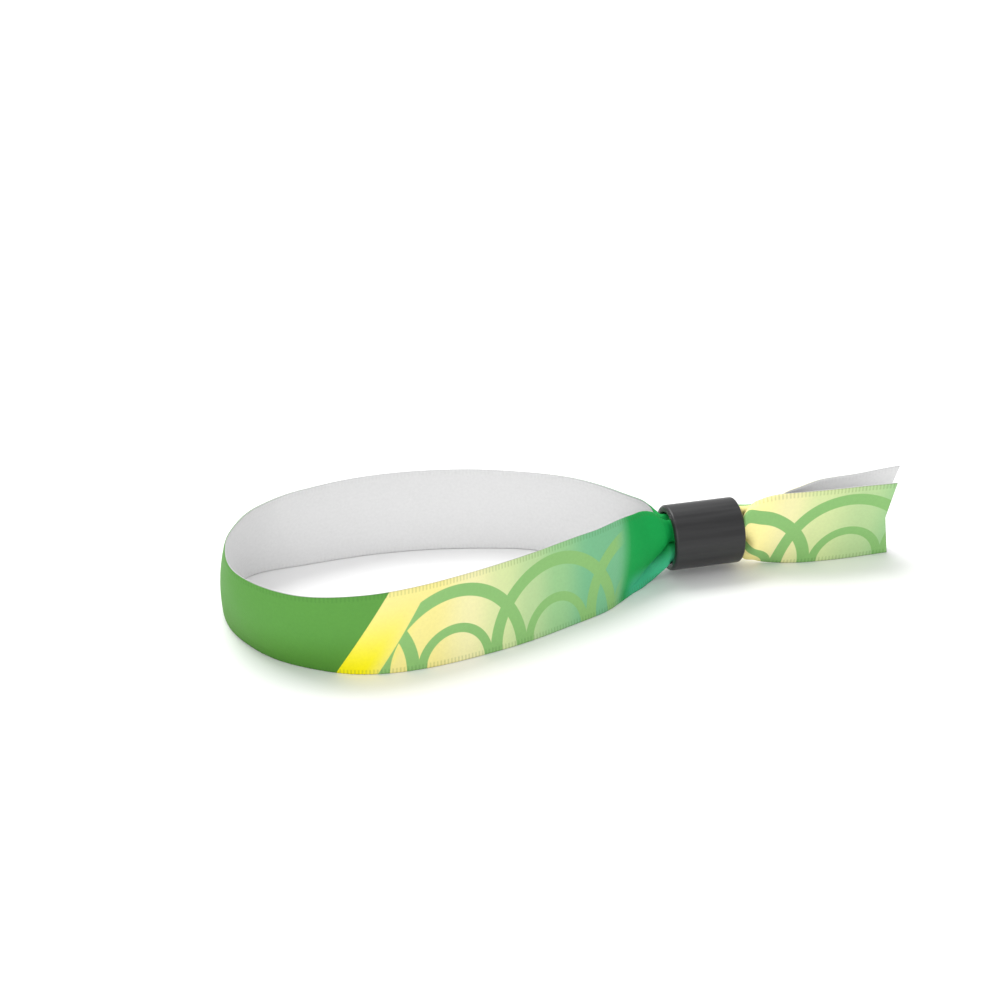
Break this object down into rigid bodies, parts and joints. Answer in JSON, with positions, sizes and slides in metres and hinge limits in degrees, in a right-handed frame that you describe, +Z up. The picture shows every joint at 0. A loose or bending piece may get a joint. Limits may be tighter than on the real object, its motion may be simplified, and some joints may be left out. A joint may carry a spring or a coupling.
{
  "type": "fabric wristband with barrel clasp",
  "caption": "Woven ribbon wristband lying on its edge as an open loop, pleated through a plastic barrel clasp, with free tails.",
  "frame": {"origin": "bottom centre of the whole wristband, on the surface that it lies on", "axes": "+X along the barrel clasp, from the loop towards the tails; +Z up, across the ribbon's width; +Y from the front branch of the loop to the back one"},
  "size_m": [0.121, 0.0476, 0.015],
  "materials": {
    "ribbon": "printed satin weave outside, off-white inside",
    "clasp": "moulded, satin dark grey"
  },
  "bodies": {
    "root": {"strap": "ribbon", "barrel_clasp": "clasp"}
  },
  "joints": []
}
